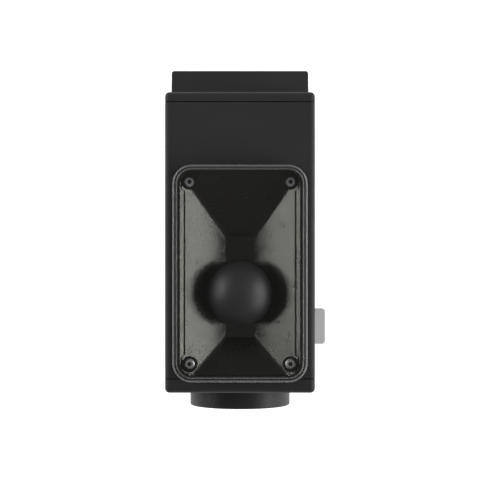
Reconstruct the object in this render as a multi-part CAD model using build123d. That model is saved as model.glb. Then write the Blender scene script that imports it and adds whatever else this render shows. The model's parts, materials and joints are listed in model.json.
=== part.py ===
"""Burr coffee grinder, flat burrs on a horizontal shaft. Millimetres, +Z up, front towards -Y.

The origin is on the table, on the body's middle plane, at the middle of the base. One STEP per piece.
"""

import math
import os

from build123d import *

# ---------------------------------------------------------------- overall sizes
HOUSING_W = 104.0
HOUSING_H = 120.0
CUP_SPACE = 99.0
FRONT_Y = -114.5
HOUSING_LEN = 208.6
FRONT_PLATE_T = 9.6
REAR_PLATE_T = 6.6
SEAM = 0.6
HOUSING_WALL = 3.0
HOUSING_R = 3.4
PLATE_EDGE_R = 3.2

BASE_IN = 2.0
BASE_LEN = 230.6
BASE_H = 16.0
BASE_R = 5.0
PAD_T = 3.0
PAD_INSET = 4.0

COLUMN_FRONT_Y = 14.0
COLUMN_WALL = 3.0
STEP_RISE = 62.0
STEP_DROP = 6.0
STEP_EDGE_R = 2.0

# ---------------------------------------------------------------- grinding line
AXIS_DROP = 64.0
BURR_R = 32.0
BURR_HOLE_R = 17.5
BURR_T = 8.0
BURR_GAP = 0.6
ADJUST_TRAVEL = 1.4
GRIND_Y = -84.0
CARRIER_T = 5.0
CHAMBER_R = 36.5
CHAMBER_WALL = 3.0
CHAMBER_FRONT_Y = FRONT_Y + FRONT_PLATE_T + 0.1
CHAMBER_REAR_Y = -69.0
FEED_R = 17.0
FEED_WALL = 3.0
SHAFT_R = 5.0
RUN_FIT = 0.04
BEARING_R = 13.0
BEARING_T = 8.0
BEARING_WALL_Y = -26.0
MOTOR_Y = -10.0
MOTOR_REAR_GAP = 18.0
MOTOR_R = 29.0
MOTOR_WALL = 2.5
MOTOR_END_T = 5.0

# ---------------------------------------------------------------- hopper and lid
HOPPER_SIDE = 10.5
HOPPER_FRONT = 12.2
HOPPER_LEN = 141.8
HOPPER_R = 9.6
HOPPER_WALL = 2.5
HOPPER_DEPTH = 22.0
SIDE_SLOPE = 35.0
REAR_SLOPE = 25.8
FRONT_SLOPE = 31.0
FRONT_DROP = 6.8
FLANGE_OVER = 4.0
FLANGE_T = 2.0
CREASE_R = 5.0
LIP_T = 1.2
LIP_H = 2.0
LID_OVER = 4.6
END_LESS = 1.2
LID_H = 15.0
LID_WALL = 2.2
DOME_Y = -45.9
DOME_R = 22.6
DOME_H = 15.0
DOME_RISE = 14.0
DOME_LEG_W = 6.0
DOME_WALL = 2.0
DISH_R = 19.0
WELL_H = 9.0
POCKET_IN_X = 6.3
POCKET_IN_Y = 7.5
POCKET_R = 5.6
POCKET_DEPTH = 8.5
SCREW_HEAD_R = 3.8

# ---------------------------------------------------------------- dial
DIAL_R = 36.3
DIAL_OUT = 14.2
DIAL_GAP = 0.5
DIAL_WALL = 3.0
DIAL_EDGE_R = 1.2
SPINDLE_R = 6.0
DETENTS = 31

# ---------------------------------------------------------------- chute, knocker, button, cup
CHUTE_Y = -73.4
CHUTE_HALF_X = 12.0
CHUTE_HALF_Y = 13.0
CHUTE_WALL = 2.0
CHUTE_OUT_Z = 106.5
KNOCKER_DROP = 100.0
KNOCKER_T = 4.0
KNOCKER_W = 27.0
KNOCKER_REACH = 12.5
KNOCKER_PIVOT_IN = 16.0
KNOCKER_SWING = 16.0
HAMMER_DROP = 8.0
HAMMER_T = 3.0
EAR_T = 2.5
EAR_GAP = 0.3
PIVOT_R = 2.0
BUTTON_Y = -36.0
BUTTON_DROP = 92.0
BUTTON_R = 7.0
BUTTON_OUT = 1.4
CUP_R = 38.0
CUP_H = 84.0
CUP_WALL = 1.6
CUP_LID_T = 6.0
CUP_MOUTH_R = 24.0

FIT = 0.3

# ---------------------------------------------------------------- worked-out places
BASE_TOP = PAD_T + BASE_H
BASE_W = HOUSING_W - 2 * BASE_IN
HOUSING_BOTTOM = BASE_TOP + CUP_SPACE
HOUSING_TOP = HOUSING_BOTTOM + HOUSING_H
AXIS_Z = HOUSING_TOP - AXIS_DROP
STEP_TOP = HOUSING_BOTTOM + STEP_RISE
KNOCKER_Z = HOUSING_TOP - KNOCKER_DROP
KNOCKER_OUT = HOUSING_W / 2 + KNOCKER_REACH
KNOCKER_PIVOT_X = HOUSING_W / 2 - KNOCKER_PIVOT_IN
BUTTON_Z = HOUSING_TOP - BUTTON_DROP
HOUSING_MID_Z = HOUSING_TOP - HOUSING_H / 2
REAR_Y = FRONT_Y + HOUSING_LEN
SHELL_FRONT_Y = FRONT_Y + FRONT_PLATE_T + SEAM
SHELL_REAR_Y = REAR_Y - REAR_PLATE_T - SEAM
INNER_W = HOUSING_W - 2 * HOUSING_WALL
INNER_H = HOUSING_H - 2 * HOUSING_WALL
INNER_BOTTOM = HOUSING_BOTTOM + HOUSING_WALL
INNER_TOP = HOUSING_TOP - HOUSING_WALL
BASE_HALF = BASE_LEN / 2
HOPPER_HALF_X = HOUSING_W / 2 - HOPPER_SIDE
HOPPER_FRONT_Y = FRONT_Y + HOPPER_FRONT
HOPPER_REAR_Y = HOPPER_FRONT_Y + HOPPER_LEN
FLOOR_HALF_X = HOPPER_HALF_X - HOPPER_DEPTH / math.tan(math.radians(SIDE_SLOPE))
FLOOR_FRONT_Y = HOPPER_FRONT_Y + (HOPPER_DEPTH - FRONT_DROP) / math.tan(math.radians(FRONT_SLOPE))
FLOOR_REAR_Y = HOPPER_REAR_Y - HOPPER_DEPTH / math.tan(math.radians(REAR_SLOPE))
POCKET_X = HOPPER_HALF_X - POCKET_IN_X
POCKET_Y = (HOPPER_FRONT_Y + POCKET_IN_Y, HOPPER_REAR_Y - POCKET_IN_Y)
POCKET_Z = HOUSING_TOP - POCKET_DEPTH
LUG_TOP = POCKET_Z - 7.0
FLOOR_Z = HOUSING_TOP - HOPPER_DEPTH
DOME_RIM_Z = FLOOR_Z + DOME_RISE
FEED_TOP_Z = AXIS_Z + FEED_R + FEED_WALL
CARRIER_Y = GRIND_Y + BURR_T
FIXED_FACE_Y = GRIND_Y - BURR_GAP
FIXED_BACK_Y = FIXED_FACE_Y - BURR_T
FIXED_CARRIER_T = 7.0
FIXED_CARRIER_Y = FIXED_BACK_Y - FIXED_CARRIER_T
DIAL_BACK_Y = FRONT_Y - DIAL_GAP
DIAL_FRONT_Y = FRONT_Y - DIAL_OUT
CUP_TOP = BASE_TOP + CUP_H
MOTOR_REAR_Y = SHELL_REAR_Y - MOTOR_REAR_GAP
CHAMBER_OUT_R = CHAMBER_R + CHAMBER_WALL
FEED_OUT_R = FEED_R + FEED_WALL
SEAT_Y = BEARING_WALL_Y + 4.0
BURR_SCREW_PCD_R = (BURR_R + BURR_HOLE_R) / 2


# ---------------------------------------------------------------- helpers
def block(x0, x1, y0, y1, z0, z1):
    """A box from its lowest to its highest corner."""
    return Pos((x0 + x1) / 2, (y0 + y1) / 2, (z0 + z1) / 2) * Box(x1 - x0, y1 - y0, z1 - z0)


def rod_y(r, y0, y1, x=0.0, z=AXIS_Z):
    """A cylinder along Y."""
    return Pos(x, (y0 + y1) / 2, z) * Rot(90, 0, 0) * Cylinder(r, y1 - y0)


def rod_z(r, z0, z1, x=0.0, y=0.0):
    """A cylinder along Z."""
    return Pos(x, y, (z0 + z1) / 2) * Cylinder(r, z1 - z0)


def rod_x(r, x0, x1, y=0.0, z=0.0):
    """A cylinder along X."""
    return Pos((x0 + x1) / 2, y, z) * Rot(0, 90, 0) * Cylinder(r, x1 - x0)


def ring_y(r_out, r_in, y0, y1, x=0.0, z=AXIS_Z):
    """A tube along Y."""
    return rod_y(r_out, y0, y1, x, z) - rod_y(r_in, y0 - 1, y1 + 1, x, z)


def slab_z(half_x, y0, y1, r, z0, z1):
    """A plate with rounded corners in plan, centred on X."""
    flat = RectangleRounded(2 * half_x, y1 - y0, r)
    return Pos(0, (y0 + y1) / 2, z0) * extrude(flat, z1 - z0)


def slab_y(half_x, z0, z1, r, y0, y1):
    """A plate with rounded corners seen from the front, centred on X."""
    flat = RectangleRounded(2 * half_x, z1 - z0, r)
    return Pos(0, y1, (z0 + z1) / 2) * Rot(90, 0, 0) * extrude(flat, y1 - y0)


def around_y(shape, count, first=0.0):
    """Copies of a shape, evenly spaced about the grinding axis."""
    centre = Pos(0, 0, AXIS_Z)
    back = Pos(0, 0, -AXIS_Z)
    return [centre * Rot(0, first + 360 * i / count, 0) * back * shape for i in range(count)]


def together(shapes):
    """One compound of solids that don't touch."""
    solids = []
    for shape in shapes:
        solids.extend(shape.solids())
    return Compound(children=solids)


def edges_on_y(shape, y):
    """The edges that lie wholly in the plane at this y."""
    return [e for e in shape.edges() if abs(e.bounding_box().min.Y - y) < 1e-4
            and abs(e.bounding_box().max.Y - y) < 1e-4]


def edges_on_z(shape, z):
    """The edges that lie wholly in the plane at this z."""
    return [e for e in shape.edges() if abs(e.bounding_box().min.Z - z) < 1e-4
            and abs(e.bounding_box().max.Z - z) < 1e-4]


def edges_on_x(shape, x):
    """The edges that lie wholly in the plane at this x."""
    return [e for e in shape.edges() if abs(e.bounding_box().min.X - x) < 1e-4
            and abs(e.bounding_box().max.X - x) < 1e-4]


def screw_z(x, y, z, length, r=1.5, head_r=2.8, head_h=2.0, up=True):
    """A socket-head screw along Z; z is the underside of its head and the shank goes away from it."""
    sign = -1 if up else 1
    head = rod_z(head_r, min(z, z - sign * head_h), max(z, z - sign * head_h), x, y)
    shank = rod_z(r, min(z, z + sign * length), max(z, z + sign * length), x, y)
    top = z - sign * head_h
    hexagon = extrude(RegularPolygon(head_r * 0.45, 6), head_h * 0.6)
    socket = Pos(x, y, top - head_h * 0.6 if up else top) * hexagon
    return head + shank - socket


def screw_y(x, z, y, length, r=1.5, head_r=2.8, head_h=2.0, front=True):
    """A socket-head screw along Y; y is the underside of its head, which faces front or rear."""
    turned = Rot(90 if front else -90, 0, 0)
    return Pos(x, y, z) * turned * screw_z(0, 0, 0, length, r, head_r, head_h)


# ---------------------------------------------------------------- base and column
CUP_MAGNET_R = 8.0
MAGNET_T = 2.5
BASE_SKIN = 1.0
COLUMN_SCREW_X = HOUSING_W / 2 - 12.0
COLUMN_SCREW_Y = (24.0, 84.0)
BOSS_R = 5.0
COLUMN_REAR_Y = BASE_HALF
COVER_T = 3.0
COVER_INSET = 8.0
COVER_Z = (BASE_TOP + 8.0, STEP_TOP - 30.0)
VENT_COUNT = 7
SEAT_LEN = SHELL_REAR_Y - COLUMN_FRONT_Y
FRONT_SCREW_SHARE = 0.1646
REAR_SCREW_IN = 20.5
HOUSING_SCREW_Y = (COLUMN_FRONT_Y + FRONT_SCREW_SHARE * SEAT_LEN, SHELL_REAR_Y - REAR_SCREW_IN)
GLAND_Z = 40.0
GLAND_R = 5.5
WIRE_HOLE_R = 9.0
WIRE_HOLE_Y = 40.0


def foot_pad():
    half_x = BASE_W / 2 - PAD_INSET
    half_y = BASE_HALF - PAD_INSET
    pad = slab_z(half_x, -half_y, half_y, BASE_R, 0, PAD_T)
    return chamfer(edges_on_z(pad, 0), 0.8)


def base_screw_places():
    return [(sx * COLUMN_SCREW_X, y) for sx in (-1, 1) for y in COLUMN_SCREW_Y]


def base_plate():
    base = slab_z(BASE_W / 2, -BASE_HALF, BASE_HALF, BASE_R, PAD_T, BASE_TOP)
    base = fillet(edges_on_z(base, BASE_TOP), 2.0)
    base = chamfer(edges_on_z(base, PAD_T), 0.8)
    pocket_z = BASE_TOP - BASE_SKIN - MAGNET_T
    base -= rod_z(CUP_MAGNET_R + 0.1, PAD_T - 1, pocket_z + MAGNET_T, 0, CHUTE_Y)
    for y0, y1 in ((-BASE_HALF + 10, CHUTE_Y - 14), (CHUTE_Y + 14, 8), (30, 78)):
        base -= slab_z(BASE_W / 2 - 14, y0, y1, 5, PAD_T - 1, BASE_TOP - 5)
    for x, y in base_screw_places():
        base -= rod_z(1.7, PAD_T - 1, BASE_TOP + 1, x, y)
        base -= rod_z(3.4, PAD_T - 1, PAD_T + 5, x, y)
    return base


def base_magnet():
    top = BASE_TOP - BASE_SKIN
    return rod_z(CUP_MAGNET_R, top - MAGNET_T, top, 0, CHUTE_Y)


def base_screws():
    return together([screw_z(x, y, PAD_T + 5, BASE_H + 3, 1.5, 3.0, 2.5, up=False)
                     for x, y in base_screw_places()])


def housing_screw_places():
    return [(sx * COLUMN_SCREW_X, y) for sx in (-1, 1) for y in HOUSING_SCREW_Y]


def rear_outline(grow=0.0):
    """The column's solid outline: a block under the housing and a step that rises behind it."""
    y0, y1 = COLUMN_FRONT_Y - grow, COLUMN_REAR_Y + grow
    low = slab_z(BASE_W / 2 + grow, y0, y1, STEP_EDGE_R, BASE_TOP - grow, HOUSING_BOTTOM + grow)
    step_y = REAR_Y + FIT - grow
    side = [(step_y, HOUSING_BOTTOM - 6), (y1, HOUSING_BOTTOM - 6),
            (y1, STEP_TOP - STEP_DROP + grow), (step_y, STEP_TOP + grow)]
    profile = Plane.YZ * make_face(Polyline(*side, close=True))
    half = BASE_W / 2 + grow
    step = Pos(-half, 0, 0) * extrude(profile, 2 * half)
    if grow == 0.0:
        upright = [e for e in step.edges() if e.bounding_box().min.Y > y1 - 1e-3
                   and e.bounding_box().size.Z > 20]
        step = fillet(upright, STEP_EDGE_R)
        slope = [e for e in step.edges() if e.bounding_box().min.Z > STEP_TOP - STEP_DROP - 1e-3
                 and e.bounding_box().max.Y > step_y + 1]
        step = fillet(slope, 1.0)
    return low + step


def column():
    """Hollow column, open at the bottom and towards the rear cover."""
    outer = rear_outline()
    inner = block(-BASE_W / 2 + COLUMN_WALL, BASE_W / 2 - COLUMN_WALL, COLUMN_FRONT_Y + COLUMN_WALL,
                  COLUMN_REAR_Y - COLUMN_WALL - COVER_T, BASE_TOP - 1, HOUSING_BOTTOM - COLUMN_WALL)
    inner += block(-BASE_W / 2 + COLUMN_WALL, BASE_W / 2 - COLUMN_WALL, REAR_Y + FIT + COLUMN_WALL,
                   COLUMN_REAR_Y - COLUMN_WALL - COVER_T, HOUSING_BOTTOM - COLUMN_WALL - 1,
                   STEP_TOP - STEP_DROP - COLUMN_WALL)
    body = outer - inner
    window_x = BASE_W / 2 - COVER_INSET - 4
    body -= block(-window_x, window_x, COLUMN_REAR_Y - 20, COLUMN_REAR_Y + 1, COVER_Z[0] + 4, COVER_Z[1] - 4)
    cover_x = BASE_W / 2 - COVER_INSET
    body -= slab_y(cover_x + FIT, COVER_Z[0] - FIT, COVER_Z[1] + FIT, 4, COLUMN_REAR_Y - COVER_T,
                   COLUMN_REAR_Y + 1)
    for x, y in base_screw_places():
        body += rod_z(BOSS_R, BASE_TOP, BASE_TOP + 12, x, y)
        body -= rod_z(1.5, BASE_TOP - 1, BASE_TOP + 11, x, y)
    for x, y in housing_screw_places():
        body -= rod_z(1.7, HOUSING_BOTTOM - COLUMN_WALL - 1, HOUSING_BOTTOM + 1, x, y)
    body -= rod_z(WIRE_HOLE_R, HOUSING_BOTTOM - COLUMN_WALL - 1, HOUSING_BOTTOM + 1, 0, WIRE_HOLE_Y)
    for x, z in cover_screw_places():
        body -= rod_y(1.25, COLUMN_REAR_Y - 9, COLUMN_REAR_Y, x, z)
    return body


def cover_screw_places():
    x = BASE_W / 2 - COVER_INSET - 1.9
    return [(sx * x, z) for sx in (-1, 1) for z in (COVER_Z[0] + 12, COVER_Z[1] - 12)]


def rear_cover():
    """Removable cover on the back of the column, with vents and the cord's gland hole."""
    half_x = BASE_W / 2 - COVER_INSET
    cover = slab_y(half_x, COVER_Z[0], COVER_Z[1], 4, COLUMN_REAR_Y - COVER_T, COLUMN_REAR_Y)
    cover = chamfer(edges_on_y(cover, COLUMN_REAR_Y), 0.6)
    for i in range(VENT_COUNT):
        z = 100 + 6.0 * i
        cover -= slab_y(22, z, z + 3, 1.4, COLUMN_REAR_Y - COVER_T - 1, COLUMN_REAR_Y + 1)
    cover -= rod_y(GLAND_R, COLUMN_REAR_Y - COVER_T - 1, COLUMN_REAR_Y + 1, 0, GLAND_Z)
    for x, z in cover_screw_places():
        cover -= rod_y(1.7, COLUMN_REAR_Y - COVER_T - 1, COLUMN_REAR_Y + 1, x, z)
    return cover


def rear_cover_screws():
    return together([screw_y(x, z, COLUMN_REAR_Y, 6, 1.2, 1.8, 1.2, front=False)
                     for x, z in cover_screw_places()])


def cord_gland():
    """Flanged bush for the mains cord."""
    y = COLUMN_REAR_Y
    gland = rod_y(GLAND_R - 0.1, y - COVER_T - 2, y, 0, GLAND_Z)
    gland += rod_y(GLAND_R + 2.5, y, y + 2.0, 0, GLAND_Z)
    gland += rod_y(GLAND_R + 1.2, y - COVER_T - 3.5, y - COVER_T - 0.02, 0, GLAND_Z)
    gland -= rod_y(3.6, y - 12, y + 5, 0, GLAND_Z)
    return gland


BOARD_X = (-34.0, 34.0)
BOARD_Z = (34.0, 104.0)
BOARD_Y = 60.0
BOARD_T = 1.6


def board_standoff_places():
    return [(x, z) for x in (BOARD_X[0] + 4, BOARD_X[1] - 4) for z in (BOARD_Z[0] + 4, BOARD_Z[1] - 4)]


def control_board():
    return block(*BOARD_X, BOARD_Y, BOARD_Y + BOARD_T, *BOARD_Z) - [
        rod_y(1.6, BOARD_Y - 1, BOARD_Y + 3, x, z) for x, z in board_standoff_places()]


def board_components():
    """Capacitors, a transformer, a heat sink and connectors, standing on the rear of the board."""
    y = BOARD_Y + BOARD_T
    parts = [rod_y(6.0, y, y + 22, x, 88) for x in (-22, -8)]
    parts.append(block(-28, -6, y, y + 16, 44, 66))
    parts += [block(8 + 5.0 * i, 10.5 + 5.0 * i, y, y + 18, 46, 78) for i in range(4)]
    parts.append(block(6, 26, y, y + 8, 86, 94))
    parts += [block(-4 + 0.0, 4, y, y + 9, 50 + 14 * i, 58 + 14 * i) for i in range(2)]
    return together(parts)


def board_bracket():
    """Folded sheet bracket that holds the board on the base."""
    y0 = BOARD_Y - 8
    plate = block(BOARD_X[0] - 2, BOARD_X[1] + 2, y0, y0 + 2, BASE_TOP, BOARD_Z[1])
    foot = block(BOARD_X[0] - 2, BOARD_X[1] + 2, y0, y0 + 14, BASE_TOP, BASE_TOP + 2)
    window = block(BOARD_X[0] + 10, BOARD_X[1] - 10, y0 - 1, y0 + 3, BOARD_Z[0] + 10, BOARD_Z[1] - 10)
    bracket = plate + foot - window
    for x, z in board_standoff_places():
        bracket += rod_y(3.0, y0 + 2, BOARD_Y, x, z)
        bracket -= rod_y(1.25, y0 + 1, BOARD_Y + 1, x, z)
    return bracket


def board_screws():
    return together([screw_y(x, z, BOARD_Y + BOARD_T, 7, 1.2, 2.4, 1.6, front=False)
                     for x, z in board_standoff_places()])


# ---------------------------------------------------------------- upper housing
PLATE_SCREW_X = HOUSING_W / 2 - 8.0
PLATE_SCREW_Z = (HOUSING_BOTTOM + 8.5, HOUSING_TOP - 8.5)
OPENING_GROW = 0.25
LUG = 9.0


def plate_screw_places():
    return [(sx * PLATE_SCREW_X, z) for sx in (-1, 1) for z in PLATE_SCREW_Z]


def knocker_slot():
    reach = HOUSING_W / 2 - KNOCKER_PIVOT_X
    drop = reach * math.sin(math.radians(KNOCKER_SWING)) + 2.0
    y0, y1 = CHUTE_Y - KNOCKER_W / 2 - 0.8, CHUTE_Y + KNOCKER_W / 2 + 0.8
    return block(HOUSING_W / 2 - HOUSING_WALL - 4, HOUSING_W / 2 + 1, y0, y1,
                 KNOCKER_Z - KNOCKER_T / 2 - drop, KNOCKER_Z + KNOCKER_T / 2 + 0.8)


def housing_shell():
    """Extruded shell, open at both ends, with screw lugs in its four corners."""
    z0, z1 = HOUSING_BOTTOM, HOUSING_TOP
    shell = slab_y(HOUSING_W / 2, z0, z1, HOUSING_R, SHELL_FRONT_Y, SHELL_REAR_Y)
    shell -= slab_y(INNER_W / 2, INNER_BOTTOM, INNER_TOP, 2.0, SHELL_FRONT_Y - 1, SHELL_REAR_Y + 1)
    for sx in (-1, 1):
        for sz in (-1, 1):
            x_wall, z_wall = sx * INNER_W / 2, HOUSING_MID_Z + sz * INNER_H / 2
            xs, zs = sorted((x_wall, x_wall - sx * LUG)), sorted((z_wall, z_wall - sz * LUG))
            for y0, y1 in ((SHELL_FRONT_Y, SHELL_FRONT_Y + 5.5), (SHELL_REAR_Y - 14, SHELL_REAR_Y)):
                shell += block(*xs, y0, y1, *zs)
    for x, z in plate_screw_places():
        shell -= rod_y(1.5, SHELL_FRONT_Y - 1, SHELL_FRONT_Y + 12, x, z)
        shell -= rod_y(1.5, SHELL_REAR_Y - 12, SHELL_REAR_Y + 1, x, z)
    grow = HOPPER_WALL + OPENING_GROW
    shell -= slab_z(HOPPER_HALF_X + grow, HOPPER_FRONT_Y - grow, HOPPER_REAR_Y + grow, HOPPER_R + grow,
                    POCKET_Z - 4, z1 + 1)
    shell -= block(-CHUTE_HALF_X - 0.5, CHUTE_HALF_X + 0.5, CHUTE_Y - CHUTE_HALF_Y - 0.5,
                   CHUTE_Y + CHUTE_HALF_Y + 0.5, z0 - 1, INNER_BOTTOM + 1)
    shell -= knocker_slot()
    shell -= rod_x(BUTTON_R + 0.25, HOUSING_W / 2 - HOUSING_WALL - 1, HOUSING_W / 2 + 1, BUTTON_Y, BUTTON_Z)
    shell -= rod_z(WIRE_HOLE_R, z0 - 1, INNER_BOTTOM + 1, 0, WIRE_HOLE_Y)
    for x, y in housing_screw_places():
        shell += rod_z(BOSS_R, INNER_BOTTOM - 0.5, INNER_BOTTOM + 7, x, y)
        shell -= rod_z(1.5, z0 - 1, INNER_BOTTOM + 6, x, y)
    return shell


def housing_screws():
    return together([screw_z(x, y, HOUSING_BOTTOM - COLUMN_WALL, 11, 1.5, 3.0, 2.5, up=False)
                     for x, y in housing_screw_places()])


GUIDE_R = 2.5
GUIDE_PCD_R = 27.0
DETENT_R = 2.0
DETENT_PCD_R = 30.5


def front_plate():
    """Cast front plate: carries the dial, its spindle bearing and the fixed burr's guides."""
    plate = slab_y(HOUSING_W / 2, HOUSING_BOTTOM, HOUSING_TOP, HOUSING_R, FRONT_Y, FRONT_Y + FRONT_PLATE_T)
    plate = fillet(edges_on_y(plate, FRONT_Y), PLATE_EDGE_R)
    plate -= rod_y(SPINDLE_R + RUN_FIT, FRONT_Y - 1, FRONT_Y + FRONT_PLATE_T + 1)
    for x, z in plate_screw_places():
        plate -= rod_y(1.7, FRONT_Y - 1, FRONT_Y + FRONT_PLATE_T + 1, x, z)
        plate -= rod_y(3.2, FRONT_Y - 1, FRONT_Y + 3.4, x, z)
    guide_hole = rod_y(GUIDE_R, FRONT_Y + 3, FRONT_Y + FRONT_PLATE_T + 1, 0, AXIS_Z + GUIDE_PCD_R)
    plate -= around_y(guide_hole, 3)
    plate -= rod_y(DETENT_R + 0.15, FRONT_Y - 1, FRONT_Y + 7.5, 0, AXIS_Z - DETENT_PCD_R)
    mark_z = AXIS_Z + DIAL_R + 3.0
    plate -= block(-0.6, 0.6, FRONT_Y - 1, FRONT_Y + 0.5, mark_z, mark_z + 6)
    return plate


def plate_screws():
    """Eight socket-head screws, four sunk in the front plate and four in the rear plate."""
    front = [screw_y(x, z, FRONT_Y + 3.4, 11, 1.5, 2.9, 2.6) for x, z in plate_screw_places()]
    rear = [screw_y(x, z, REAR_Y - 3.0, 11, 1.5, 2.9, 2.6, front=False) for x, z in plate_screw_places()]
    return together(front + rear)


def rear_plate():
    plate = slab_y(HOUSING_W / 2, HOUSING_BOTTOM, HOUSING_TOP, HOUSING_R, REAR_Y - REAR_PLATE_T, REAR_Y)
    plate = fillet(edges_on_y(plate, REAR_Y), PLATE_EDGE_R)
    for x, z in plate_screw_places():
        plate -= rod_y(1.7, REAR_Y - REAR_PLATE_T - 1, REAR_Y + 1, x, z)
        plate -= rod_y(3.2, REAR_Y - 3.0, REAR_Y + 1, x, z)
    for i in range(6):
        z = STEP_TOP + 9 + 7.0 * i
        plate -= slab_y(26, z, z + 3, 1.4, REAR_Y - REAR_PLATE_T - 1, REAR_Y + 1)
    return plate


# ---------------------------------------------------------------- burr chamber and drive
def burr_chamber():
    """Cast chamber round the burrs, with the feed tube behind it and the bearing seat at its end."""
    body = rod_y(CHAMBER_OUT_R, CHAMBER_FRONT_Y, CHAMBER_REAR_Y + 4)
    body += rod_y(FEED_OUT_R, CHAMBER_REAR_Y, BEARING_WALL_Y + 14)
    body += block(-FEED_OUT_R, FEED_OUT_R, DOME_Y - FEED_OUT_R, DOME_Y + FEED_OUT_R, AXIS_Z, FEED_TOP_Z)
    chute_x, chute_y = CHUTE_HALF_X - FIT, CHUTE_HALF_Y - FIT
    neck_bottom = AXIS_Z - CHAMBER_OUT_R - 1
    body += block(-chute_x, chute_x, CHUTE_Y - chute_y, CHUTE_Y + chute_y, neck_bottom, AXIS_Z - 30)
    for sx in (-1, 1):
        x0, x1 = sorted((sx * 30, sx * (INNER_W / 2 - 0.1)))
        body += block(x0, x1, CHAMBER_REAR_Y - 3, CHAMBER_REAR_Y + 4, AXIS_Z - 8, AXIS_Z + 8)
    body -= Pos(0, DOME_Y, (FLOOR_Z + FEED_TOP_Z) / 2) * Cone(
        FEED_OUT_R + FIT, DISH_R + HOPPER_WALL + FIT, FLOOR_Z - FEED_TOP_Z)
    body -= rod_y(CHAMBER_R, CHAMBER_FRONT_Y - 1, CHAMBER_REAR_Y)
    body -= rod_y(FEED_R, CHAMBER_REAR_Y - 1, BEARING_WALL_Y)
    body -= rod_z(FEED_R, AXIS_Z, FEED_TOP_Z + 1, 0, DOME_Y)
    body -= rod_y(BEARING_R, SEAT_Y, BEARING_WALL_Y + 15)
    body -= rod_y(SHAFT_R + 1.5, BEARING_WALL_Y - 1, SEAT_Y + 1)
    bore_x, bore_y = chute_x - CHUTE_WALL, chute_y - CHUTE_WALL
    body -= block(-bore_x, bore_x, CHUTE_Y - bore_y + 4, CHUTE_Y + bore_y - 4, neck_bottom - 1, AXIS_Z - 20)
    return body


def bearing(y0):
    """Ball bearing as one piece: two races and a ring of balls between them."""
    outer = ring_y(BEARING_R - 0.02, BEARING_R - 2.4, y0, y0 + BEARING_T)
    inner = ring_y(SHAFT_R + 2.4, SHAFT_R + RUN_FIT, y0, y0 + BEARING_T)
    track_r = (BEARING_R + SHAFT_R) / 2
    ball = Pos(0, y0 + BEARING_T / 2, AXIS_Z + track_r) * Sphere(1.55)
    return together([outer, inner, *around_y(ball, 9)])


def shaft_seal():
    return ring_y(10.0, SHAFT_R + 0.05, BEARING_WALL_Y - 3.0, BEARING_WALL_Y)


def drive_shaft():
    """Motor shaft, carried through the feed tube to the rotating burr."""
    shaft = rod_y(SHAFT_R, GRIND_Y - 4, MOTOR_REAR_Y + 3)
    shaft = chamfer(edges_on_y(shaft, GRIND_Y - 4), 0.8)
    return shaft


AUGER_R = 15.5
AUGER_HUB_R = 8.0
AUGER_Y = (CARRIER_Y + CARRIER_T + 0.1, BEARING_WALL_Y - 4.0)


def auger():
    """Two-start feed screw on the shaft."""
    section = Circle(AUGER_HUB_R) + Rectangle(2 * AUGER_R, 4.0)
    length = AUGER_Y[1] - AUGER_Y[0]
    screw = Solid.extrude_linear_with_rotation(section.face(), (0, 0, 0), (0, 0, length), 420)
    screw = Pos(0, AUGER_Y[1], AXIS_Z) * Rot(90, 0, 0) * screw
    return screw & rod_y(AUGER_R - 0.3, *AUGER_Y) - rod_y(SHAFT_R + 0.01, AUGER_Y[0] - 1, AUGER_Y[1] + 1)


def burr_teeth(face_y, sign):
    """Grooves of a flat burr: coarse feed grooves near the hole and finer ones at the rim."""
    cuts = []
    coarse = Pos(0, face_y, AXIS_Z + BURR_HOLE_R + 3.5) * Rot(sign * 9, 22, 0) * Box(2.2, 3.6, 10)
    cuts += around_y(coarse, 12)
    fine = Pos(0, face_y, AXIS_Z + BURR_R - 4.2) * Rot(0, 22, 0) * Box(0.9, 1.6, 10.5)
    cuts += around_y(fine, 48)
    return cuts


def burr(face_y, back_y, sign):
    y0, y1 = sorted((face_y, back_y))
    body = ring_y(BURR_R, BURR_HOLE_R, y0, y1)
    body -= burr_teeth(face_y, sign)
    hole = rod_y(1.7, y0 - 1, y1 + 1, 0, AXIS_Z + BURR_SCREW_PCD_R)
    head_y = sorted((face_y + sign, face_y - sign * 3.2))
    sink = rod_y(3.0, *head_y, 0, AXIS_Z + BURR_SCREW_PCD_R)
    return body - around_y(hole, 3, 60) - around_y(sink, 3, 60)


def burr_screws(face_y, front):
    y = face_y + (3.2 if front else -3.2)
    z = AXIS_Z + BURR_SCREW_PCD_R
    return together(around_y(screw_y(0, z, y, 7.4, 1.5, 2.7, 2.0, front), 3, 60))


def rotating_carrier():
    """Rim, three spokes and hub that carry the rotating burr, with sweeping paddles on the rim."""
    y0, y1 = CARRIER_Y, CARRIER_Y + CARRIER_T
    rim = ring_y(BURR_R, BURR_HOLE_R, y0, y1)
    hub = rod_y(9.5, GRIND_Y - 1, y1)
    spoke = block(-3, 3, y0, y1, AXIS_Z + 6, AXIS_Z + BURR_HOLE_R + 1)
    paddle = block(-2.5, 2.5, y0 - 6, y1, AXIS_Z + BURR_R - 1, AXIS_Z + CHAMBER_R - 0.8)
    paddle -= ring_y(BURR_R + 0.3, 1, y0 - 7, y0)
    body = rim + hub + around_y(spoke, 3) + around_y(paddle, 3, 30)
    body -= rod_y(SHAFT_R + 0.01, GRIND_Y - 3, y1 + 1)
    return body - around_y(rod_y(1.5, y0 - 1, y1 + 1, 0, AXIS_Z + BURR_SCREW_PCD_R), 3, 60)


def carrier_nut():
    """Nut that holds the rotating carrier on the shaft's end."""
    nut = Pos(0, GRIND_Y - 1, AXIS_Z) * Rot(90, 0, 0) * extrude(RegularPolygon(8.0, 6), 2.6)
    return nut - rod_y(SHAFT_R + 0.01, GRIND_Y - 6, GRIND_Y + 1)


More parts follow.
